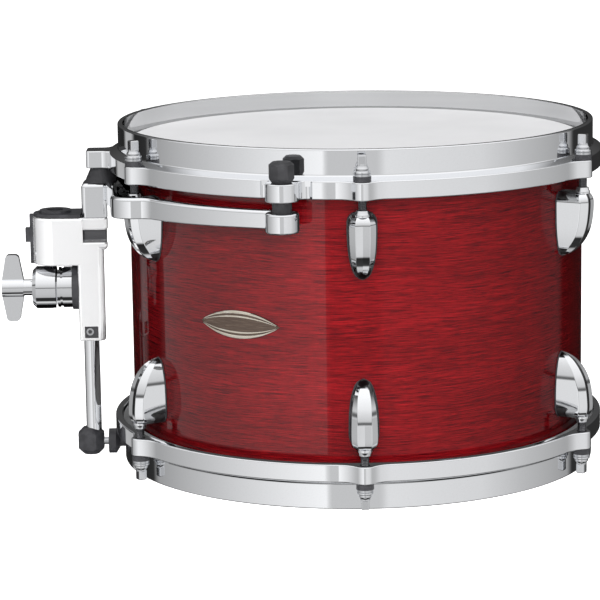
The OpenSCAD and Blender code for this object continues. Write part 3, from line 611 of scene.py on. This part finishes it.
def build_shell():
    """Wooden shell with its bearing edges and the vent hole."""
    inside = 145.0
    lower_edge = [(inside, 16.7), (149.4, 12.3), (149.8, 12.2), (SHELL_R, 13.6)]
    upper_edge = [(SHELL_R, 213.8), (149.8, 215.2), (149.4, 215.1), (inside, 210.7)]
    bm = bmesh.new()
    lathe(bm, lower_edge + upper_edge, 256, closed=True)
    vent_r, vent_angle = 5.15, 60
    vent = bmesh.new()
    lathe(vent, [(0, 140), (vent_r, 140), (vent_r, 156), (0, 156)], 32)
    turn = Matrix.Rotation(math.radians(vent_angle), 4, "Z")
    lie_down = Matrix.Rotation(math.pi / 2, 4, "Y")
    place(vent, 0, Matrix.Translation((0, 0, TOTAL_H / 2)) @ turn @ lie_down)
    piece("wood_shell", bm, ["shell"], vent)


def build_badge():
    """Plain lens-shaped plate bent round the shell, with a raised border and a fine inner line."""
    half_l, half_h = 29.0, 9.0
    arc_r = (half_l**2 + half_h**2) / (2 * half_h)
    centre_angle = -121
    gap = 0.02              # between the plate's back and the shell
    thin_below = 1.6        # the relief fades out where the plate is narrower than this
    # (height across the plate from -1 to 1, thickness) pairs
    relief = [(-1.0, 0.05), (-0.985, 0.8), (-0.95, 1.05), (-0.8, 1.05), (-0.76, 0.7), (-0.64, 0.7),
              (-0.61, 0.95), (-0.52, 0.95), (-0.49, 0.7), (-0.3, 0.74), (0.0, 0.78)]
    relief += [(-v, t) for v, t in reversed(relief[:-1])]
    section = [(-1.0, gap), *relief, (1.0, gap)]
    bm = bmesh.new()
    columns = []
    steps = 56
    for i in range(steps + 1):
        along = half_l * cosd(180 - 180 * i / steps) * 0.998
        half = math.sqrt(arc_r**2 - along**2) - arc_r + half_h
        angle = centre_angle + math.degrees(along / SHELL_R)
        keep = min(1.0, half / thin_below)
        column = []
        for v, t in section:
            r = SHELL_R + gap + t * keep
            column.append(bm.verts.new((r * cosd(angle), r * sind(angle), TOTAL_H / 2 + v * half)))
        columns.append(column)
    for left, right in zip(columns, columns[1:]):
        for k in range(len(left) - 1):
            bm.faces.new((left[k], right[k], right[k + 1], left[k + 1]))
        bm.faces.new((left[-1], right[-1], right[0], left[0]))
    bm.faces.new(columns[0])
    bm.faces.new(columns[-1])
    piece("blank_badge", bm, ["badge"])


# ---------- hoops ----------


def hoop_body(bm, features):
    """Band with its ears, and the thin upright rim with the pocket behind it."""
    first_angle = 60        # the outline starts at an angle that no ear crosses
    band_inside, pocket, rod_hole = 159.6, 155.1, 3.25
    outline = ring_path(BAND_R, features, first_angle, first_angle + 360)[:-1]
    holes = [circle(0, 0, band_inside, 240)]
    holes += [circle(ROD_R * cosd(a), ROD_R * sind(a), rod_hole, 32) for a in ROD_ANGLES]
    prism(bm, outline, BAND_Z, EAR_Z, 0.9, 0.9, holes)
    foot = arc(159.4, LEDGE_Z + 1.2, 1.4, 250, 180, 20)
    lip = arc(157, TOTAL_H - 1, 1, 0, 90, 18) + arc(pocket, TOTAL_H - 0.6, 0.6, 90, 180, 30)
    profile = [(159.5, 205), (163.2, 205), (163.3, EAR_Z - 0.1), *foot, *lip, (154.5, 216.3),
               (pocket, 216.1), (pocket, 207.5), (159.5, 207.5)]
    lathe(bm, profile, 240, closed=True)


def build_hoops():
    rod_ears = [round_ear(a + 360 * (a < 60), 6, ROD_R, BAND_R, 18) for a in ROD_ANGLES]
    hangers = [round_ear(a, HANGER_EAR_R, HANGER_R, BAND_R, 4.6, 1.1) for a in HANGER_ANGLES]
    upper = bmesh.new()
    hoop_body(upper, rod_ears + hangers + [square_ear(180, BAND_R)])
    piece("upper_counter_hoop", upper, ["batter_hoop"], look="hoop_chrome")
    lower = bmesh.new()
    hoop_body(lower, rod_ears)
    lower_side(lower)
    piece("lower_counter_hoop", lower, ["resonant_hoop"], look="hoop_chrome")


# ---------- tension rods ----------


def rod_body(bm):
    """A rod on its own axis: threaded shank, flange, waisted collar and rounded square key."""
    seat = EAR_Z + 5.1      # top of the washers under the flange
    tip, thread_end, pitch = 163.7, 200, 1.0583
    lathe(bm, [(0, tip), (2.2, tip), (2.35, tip + 0.5), (2.35, thread_end - 1), (2.7, thread_end),
               (2.7, seat), (0, seat)], 24)
    thread(bm, 2.75, 0.42, pitch, tip + 0.8, thread_end)
    flange = [(0, 0), (5.0, 0), (5.35, 0.35), (5.35, 1.2), (4.95, 1.6)]
    collar = [(4.5, 1.65), (4.35, 1.9), (4.35, 3.0), (4.1, 3.4), (3.4, 4.3), (3.3, 5.4), (3.0, 5.7),
              (0, 5.7)]
    lathe(bm, [(r, seat + rise) for r, rise in flange + collar], 48)
    half = 2.8
    key = rounded([(-half, -half), (half, -half), (half, half), (-half, half)], [0.75] * 4, 3)
    prism(bm, key, seat + 5.0, seat + 11.4, 0.7, 0.1)


def build_rods():
    for side in ("batter", "resonant"):
        for i, angle in enumerate(ROD_ANGLES):
            bm = bmesh.new()
            rod_body(bm)
            outward = Matrix.Translation((ROD_R, 0, 0))
            place(bm, 0, Matrix.Rotation(math.radians(angle), 4, "Z") @ outward)
            if side == "resonant":
                lower_side(bm)
            piece(f"{side}_key_rod_{i + 1}", bm, [f"{side}_rod_{i + 1}"], look="rod_steel")


# ---------- lugs ----------

# Rows of a lug from its neck to its tip: drop below the rod entry, half width, reach off the shell,
# half width of the front face
LUG_ROWS = [
    (3.0, 4.6, 16.8, 2.8), (3.6, 5.9, 18.0, 3.3), (4.8, 7.2, 19.1, 3.9), (6.6, 8.4, 20.1, 4.3),
    (9.0, 9.0, 20.6, 4.5), (13.0, 9.1, 20.6, 4.5), (18.0, 9.0, 20.2, 4.5), (23.0, 8.8, 19.5, 4.4),
    (28.0, 8.4, 18.2, 4.3), (32.0, 7.8, 16.5, 4.2), (36.0, 6.9, 14.1, 3.9), (39.5, 5.9, 11.2, 3.3),
    (42.0, 4.8, 8.3, 2.6), (44.0, 3.3, 4.7, 1.7), (45.1, 1.5, 1.7, 0.6)
]
LUG_TIP = 45.199            # rows below this drop repeat the last one


def lug_row(drop):
    """Smooth in-between row at a drop: a cubic through the rows above and below."""
    drop = min(drop, LUG_TIP)
    last = len(LUG_ROWS) - 1
    k = max(i for i in range(last) if LUG_ROWS[i][0] <= drop)
    p0, p1, p2, p3 = (LUG_ROWS[min(last, max(0, j))] for j in (k - 1, k, k + 1, k + 2))
    t = (drop - p1[0]) / (p2[0] - p1[0])
    width = p2[0] - p1[0]
    row = []
    for a, b, c, d in zip(p0[1:], p1[1:], p2[1:], p3[1:]):
        m1 = (c - a) / max(1e-6, p2[0] - p0[0]) * width
        m2 = (d - b) / max(1e-6, p3[0] - p1[0]) * width
        row.append((2 * t**3 - 3 * t**2 + 1) * b + (t**3 - 2 * t**2 + t) * m1
                   + (3 * t**2 - 2 * t**3) * c + (t**3 - t**2) * m2)
    return row


def lug_section(half, out, face):
    """Outline of a lug at one height as (reach, sideways) points; the fold of its face is first."""
    size = min(1.0, half / 6)
    knee = (out - 4.2 * size, half - 0.7 * size)
    side = [(out, face), knee, (-0.3, half)]
    radii = [0.6 * size, 1.6 * size, 0]
    corners = [(out - 0.4 * size, 0.0)] + side + [(x, -y) for x, y in reversed(side)]
    return rounded(corners, [0] + radii + radii[::-1], 4)


def lug_body(bm):
    drops = [3.0, 3.2, 3.6, 4.2, 5.0, 6.0, 7.2, 8.6] + [10 + 1.6 * i for i in range(20)]
    drops += [41.5, 42.6, 43.6, 44.4, 45.0, 45.2]
    rings = []
    for drop in drops:
        points = lug_section(*lug_row(drop))
        rings.append([bm.verts.new((SHELL_R + x, y, LUG_Z - drop)) for x, y in points])
    for upper, lower in zip(rings, rings[1:]):
        bridge_rings(bm, upper, lower)
        bm.edges.get((upper[0], lower[0])).seam = True
    bm.faces.new(rings[0])
    bm.faces.new(rings[-1])
    neck = [(3.4, 0), (3.4, 3.9), (4.6, 3.9), (4.6, 2.9), (4.45, 2.3), (3.95, 1.2), (3.75, 0.2),
            (3.6, 0)]
    lathe(bm, [(r, LUG_Z - drop) for r, drop in neck], 40, (ROD_R, 0), closed=True)


def gasket_body(bm):
    """Thin sheet that shows as a dark line round the foot of a lug."""
    margin, head, tip = 0.5, -3.0, -45.3
    drops = (3.0, 3.6, 4.8, 6.6, 9, 13, 18, 24, 30, 34, 38, 41, 43.4, 44.8)
    half = [(lug_row(drop)[0] + margin, -drop) for drop in drops]
    outline = [(0.0, head + margin)] + half + [(0.0, tip - margin)]
    outline += [(-y, z) for y, z in reversed(half)]
    rings = []
    for reach, share in ((-0.5, 1.0), (0.55, 1.0), (0.75, 0.97)):
        r = SHELL_R + reach
        ring = []
        for y, z in outline:
            angle = math.degrees(y * share / SHELL_R)
            ring.append(bm.verts.new((r * cosd(angle), r * sind(angle), LUG_Z + z)))
        rings.append(ring)
    for lower, upper in zip(rings, rings[1:]):
        bridge_rings(bm, lower, upper)
    bm.faces.new(rings[0])
    bm.faces.new(rings[-1])


def around_drum(bm, body):
    """The same body at each of the six rods."""
    for angle in ROD_ANGLES:
        start = len(bm.verts)
        body(bm)
        place(bm, start, Matrix.Rotation(math.radians(angle), 4, "Z"))


def build_lugs():
    for side in ("upper", "lower"):
        bm = bmesh.new()
        around_drum(bm, lug_body)
        if side == "lower":
            lower_side(bm)
        piece(f"{side}_teardrop_lugs", bm, [f"{side}_lugs"])
    gaskets = bmesh.new()
    around_drum(gaskets, gasket_body)
    upper_count = len(gaskets.verts)
    around_drum(gaskets, gasket_body)
    lower_side(gaskets, upper_count)
    piece("lug_outline_gaskets", gaskets, ["lug_gaskets"])


# ---------- holder bracket ----------


def build_mount_frame():
    """Two curved arms bowed round a pair of lugs, an eyelet at each end, and the post between."""
    bows = (150, 210)
    bow_out_r, bow_in_r = 15.5, 10.9
    arm_in, arm_out = 160.5, 167
    outer = ring_path(
        arm_out, [round_ear(a, bow_out_r, ROD_R, arm_out, 9) for a in bows], *HANGER_ANGLES)
    gap = math.degrees(math.acos((arm_in**2 + ROD_R**2 - bow_in_r**2) / (2 * arm_in * ROD_R)))
    reach = turn_of(arm_in * cosd(gap) - ROD_R, arm_in * sind(gap))
    clear = arc(ROD_R, 0, bow_in_r, -reach, reach)
    inner = ring_path(arm_in, [(a - gap, a + gap, turned(clear, a)) for a in bows], *HANGER_ANGLES)

    def top(x, y):
        """The arms dip by 3 mm behind the post."""
        return ARM_Z - 3 * min(1.0, max(0.0, (22 - abs(y)) / 10))

    def foot(x, y):
        """The arms are 15 mm high at the post and 11.5 mm at their ends."""
        return ARM_Z - 15 + 3.5 * min(1.0, max(0.0, (abs(y) - 60) / 91))

    bm = bmesh.new()
    prism(bm, outer + inner[::-1], foot, top, 2.3, 1.0, steps=5)
    for angle in HANGER_ANGLES:
        eyelet = circle(HANGER_R * cosd(angle), HANGER_R * sind(angle), HANGER_EAR_R, 72)
        prism(bm, eyelet, ARM_Z - 12.5, ARM_Z + 0.02, 1.5)
    post = [(-183, -12), (POST_IN, -12), (POST_IN - 2.8, 12), (-183, 12)]
    prism(bm, rounded(post, [3.0] * 4, 6), 163.9, 187.02, 3.0, 0.6, steps=6)
    piece("hanger_frame", bm, ["mount_frame"])


def build_housing():
    """Barrel round the holder rod, bridge under the post, web, and the column with the stay."""
    bm = bmesh.new()
    axis, depth, bore_r = -201.3, 15.5, 9.05
    bore = circle(axis, 0, bore_r)
    right = -182.0          # shell side of the barrel, waisted behind the column
    waist = right - 3
    flank = rounded(
        [(axis, -depth), (right, -depth), (waist, -3), (waist, 3), (right, depth), (axis, depth)],
        [0, 0.8, 0.5, 0.5, 0.8, 0], 3)
    barrel = arc(axis, 0, depth, 90, 270, 5) + flank[1:-1]
    prism(bm, barrel, 132.3, 164.5, 2.2, 1.4, [bore], steps=5)

    # blocks that share a face lie a little deeper than the one before, so that no faces coincide
    inner_x = -168.2
    back_x = inner_x - 3.4
    shy = depth - 0.05
    flank = rounded([(axis, -shy), (inner_x, -shy), (back_x, shy), (axis, shy)], [0, 4.5, 2, 0], 6)
    shoulder = arc(axis, 0, shy, 90, 270, 5) + flank[1:-1]
    prism(bm, shoulder, 132.35, 147.95, 1.4, 1.0, [bore])

    outer_x, shy = -186.4, depth - 0.1
    tube_hole = [circle(-179.3, 0, 5.3, 48)]
    whole = [(outer_x, -shy), (inner_x, -shy), (back_x, shy), (outer_x, shy)]
    notch_out, notch_in, sunk = -182.7, -173.6, shy - 3
    notch = [(notch_out, -shy), (notch_out, -sunk), (notch_in, -sunk), (notch_in, -shy)]
    corners = [2, 4.5, 2, 2]
    plan = rounded(whole, corners, 6)
    notched = rounded(whole[:1] + notch + whole[1:], corners[:1] + [0] * 4 + corners[1:], 6)
    column_z, notch_low, notch_high = 80.95, 82.95, 90.95
    prism(bm, plan, column_z, notch_low, 0, 1.2, tube_hole)
    prism(bm, notched, notch_low, notch_high, 0, 0, tube_hole)
    prism(bm, plan, notch_high, 146, 0, 0, tube_hole)

    bridge = [(-186, -12), (POST_IN, -12), (POST_IN - 2.8, 12), (-186, 12)]
    prism(bm, rounded(bridge, [1, 2.5, 2.5, 1], 4), 155.65, 163.85, 0.9, 1.6)
    web = [(-187, -1), (-167.4, -1), (-167.4, 1), (-187, 1)]
    foot, head = (
        [bm.verts.new((x, y * half, z)) for x, y in web] for half, z in ((4.5, 146), (7.5, 157)))
    bridge_rings(bm, foot, head)
    bm.faces.new(foot[::-1])
    bm.faces.new(head)
    flare = [(-183, -shy), (-165.6, -shy), (-168.6, shy), (-183, shy)]
    prism(bm, rounded(flare, [0, 2.2, 2.2, 0], 5), 142.5, 147.9, 1.2, 3.2, steps=6)
    piece("clamp_casting", bm, ["clamp_housing"], look="satin_chrome")


build_shell()
build_badge()
build_hoops()
build_rods()
build_lugs()
build_mount_frame()
build_housing()


# ---------- carried-over CAD nodes ----------

# width of the rounding that a modifier gives to a CAD node's edges, in millimetres
BEVELS = {"wing_nut": 0.8, "outer_jaw": 0.7, "inner_jaw": 0.4, "rod_guide": 0.4,
          "clamp_plate": 0.5, "stay_foot": 0.5, "bumper_knob": 0.4, "hanger_caps": 0.5,
          "batter_nylon_washers": 0.3, "batter_steel_washers": 0.3,
          "resonant_nylon_washers": 0.3, "resonant_steel_washers": 0.3}


def dress_node(name, node):
    """Material and rounded edges for a CAD node that stays as it is."""
    node.data.materials.clear()
    node.data.materials.append(MATERIALS[SLOTS[name]])
    if name in BEVELS:
        bevel = node.modifiers.new("rounded", "BEVEL")
        bevel.width = BEVELS[name] * MM
        bevel.segments = 3
        bevel.limit_method = "ANGLE"
        bevel.angle_limit = math.radians(35)
        bevel.harden_normals = True


for name, node in frame["nodes"].items():
    dress_node(name, node)


# ---------- studio ----------

WHITE = (1.0, 1.0, 1.0, 1.0)


def studio_world():
    """White to the camera; chrome sees a bright front and top, dark flags at the sides and behind.

    The ramps are made of (azimuth, brightness) and (elevation, brightness) pairs in degrees.
    """
    world = bpy.data.worlds.new("studio")
    bpy.context.scene.world = world
    world.use_nodes = True
    world.node_tree.nodes.clear()
    nodes = Nodes(world.node_tree)
    x, y, z = nodes.parts(nodes.add("ShaderNodeTexCoord").outputs["Generated"])
    azimuth = nodes.math("ARCTAN2", x, nodes.math("MULTIPLY", y, -1.0))
    around = nodes.math("ADD", nodes.math("DIVIDE", azimuth, 2 * math.pi), 0.5)
    height = nodes.math("ADD", nodes.math("DIVIDE", nodes.math("ARCSINE", z), math.pi), 0.5)

    def by_azimuth(stops):
        return nodes.ramp(around, [(0.5 + a / 360, v) for a, v in stops])

    def by_height(stops):
        return nodes.ramp(height, [(0.5 + e / 180, v) for e, v in stops])

    level = by_azimuth((
        (-180, 0.03), (-150, 0.02), (-146, 0.5), (-138, 0.5), (-134, 0.02), (-121, 0.03),
        (-116, 0.36), (-75, 0.62), (-30, 0.95), (-16.5, 1.05), (-15, 0.62), (9, 0.62), (13, 0.84),
        (60, 0.76), (85, 0.56), (112, 0.42), (122, 0.36), (127, 0.03), (180, 0.03)))
    below = by_height((
        (-85, 0.8), (-76, 0.75), (-72, 0.06), (-52, 0.03), (-47, 0.85), (-30, 0.95), (-16.5, 1.0)))
    front = by_height((
        (0, 1.0), (2.5, 0.14), (4.5, 0.14), (7.5, 0.66), (30, 0.95), (60, 1.15), (88, 1.2)))
    back = by_height((
        (-60, 0.4), (-10, 0.05), (5, 0.05), (22, 0.09), (40, 0.4), (60, 1.1), (88, 1.2)))
    behind = by_azimuth((
        (-180, 1.0), (-125, 1.0), (-100, 0.0), (105, 0.0), (130, 1.0), (180, 1.0)))
    above = by_height(((0, 0.0), (1.5, 1.0)))
    lower = nodes.mix(1.0, level, below, "MULTIPLY")
    mirrored = nodes.mix(above, lower, nodes.mix(behind, front, back))

    ambient = (0.13, 0.13, 0.135)
    path = nodes.add("ShaderNodeLightPath").outputs
    seen = nodes.mix(path["Is Glossy Ray"], ambient, mirrored)
    seen = nodes.mix(path["Is Camera Ray"], seen, WHITE)
    background = nodes.add("ShaderNodeBackground", {"Color": seen, "Strength": 1.0})
    output = nodes.add("ShaderNodeOutputWorld")
    nodes.put(output.inputs[0], background.outputs[0])


def stand(obj, azimuth, distance, height, target_z):
    """Stands an object at an azimuth and turns it to a point on the drum's axis."""
    turn = math.radians(azimuth)
    obj.location = (distance * math.sin(turn), -distance * math.cos(turn), height)
    sight = Vector((0, 0, target_z)) - obj.location
    obj.rotation_euler = sight.to_track_quat("-Z", "Y").to_euler()


def soft_box(name, azimuth, height, distance, power):
    """Square light at an azimuth, seen by matte surfaces only."""
    light = bpy.data.lights.new(name, "AREA")
    light.size = 1.6
    light.energy = power
    obj = in_scene(name, light)
    stand(obj, azimuth, distance, height, 0.1)
    obj.visible_glossy = False


def haze_panel(receiver):
    """Tall card on the left that only the lacquer mirrors: a pale sheen with a straight edge."""
    distance, level = 8.0, -1.5
    first, last = -115.0, -16.5     # azimuths of its two sides
    brightness = 1.25
    light = bpy.data.lights.new("sheen", "AREA")
    light.shape = "RECTANGLE"
    light.size = 2 * distance * math.tan(math.radians((last - first) / 2))
    light.size_y = 6.0
    light.energy = brightness * math.pi * light.size * light.size_y
    obj = in_scene("sheen", light)
    stand(obj, (first + last) / 2, distance, level, level)
    obj.visible_diffuse = False
    linked = bpy.data.collections.new("lacquer")
    linked.objects.link(receiver)
    obj.light_linking.receiver_collection = linked


def pale_floor():
    """Plain pale floor that mirrors don't see, brighter to the camera so that it fades out.

    It lies below the stay's foot at the end of its travel.
    """
    drop, base_glow, camera_glow = 0.031, 0.72, 0.36
    bm = bmesh.new()
    bmesh.ops.create_circle(bm, cap_ends=True, segments=96, radius=6.0)
    mesh = bpy.data.meshes.new("floor")
    bm.to_mesh(mesh)
    bm.free()
    floor = in_scene("floor", mesh)
    floor.location.z = cad_bounds[0][2] - drop
    material, nodes, shader = principled("pale_floor", Roughness=0.9, Specular_IOR_Level=0.0)
    speckle = nodes.noise(object_space(nodes), 40, 2.0)
    paint = nodes.mix(speckle, (0.86, 0.86, 0.86), (0.88, 0.88, 0.88))
    nodes.put(shader.inputs["Base Color"], paint)
    nodes.put(shader.inputs["Emission Color"], WHITE)
    seen = nodes.add("ShaderNodeLightPath").outputs["Is Camera Ray"]
    glow = nodes.math("MULTIPLY_ADD", seen, camera_glow, base_glow)
    nodes.put(shader.inputs["Emission Strength"], glow)
    mesh.materials.append(material)
    floor.visible_glossy = False
    floor.visible_shadow = False


def camera():
    """Camera at the viewing angle of the picture, a little left of the drum's axis and above it."""
    stands_at = Vector((-46.57, -1852.54, 457.89)) * MM
    turn, tilt, roll = (math.radians(a) for a in (0.26, -10.815, -0.81))
    forward = Vector((
        math.sin(turn) * math.cos(tilt), math.cos(turn) * math.cos(tilt), math.sin(tilt)))
    level = forward.cross(Vector((0, 0, 1))).normalized()
    upright = level.cross(forward)
    right = level * math.cos(roll) + upright * math.sin(roll)
    up = upright * math.cos(roll) - level * math.sin(roll)
    data = bpy.data.cameras.new("camera")
    data.sensor_width = 36
    data.lens = 167.7
    obj = in_scene("camera", data)
    axes = Matrix((right, up, -forward)).transposed().to_4x4()
    obj.matrix_world = Matrix.Translation(stands_at) @ axes
    bpy.context.scene.camera = obj


scene = bpy.context.scene
scene.view_settings.view_transform = "Standard"
scene.cycles.use_denoising = True
studio_world()
soft_box("key", azimuth=3, height=1.1, distance=2.3, power=62)
soft_box("fill", azimuth=-45, height=1.0, distance=2.4, power=14)
soft_box("top", azimuth=0, height=2.4, distance=0.3, power=30)
shell = bpy.data.objects["wood_shell"]
haze_panel(shell)
shell.visible_glossy = False    # chrome doesn't mirror the red shell, so its outlines stay dark
pale_floor()
camera()
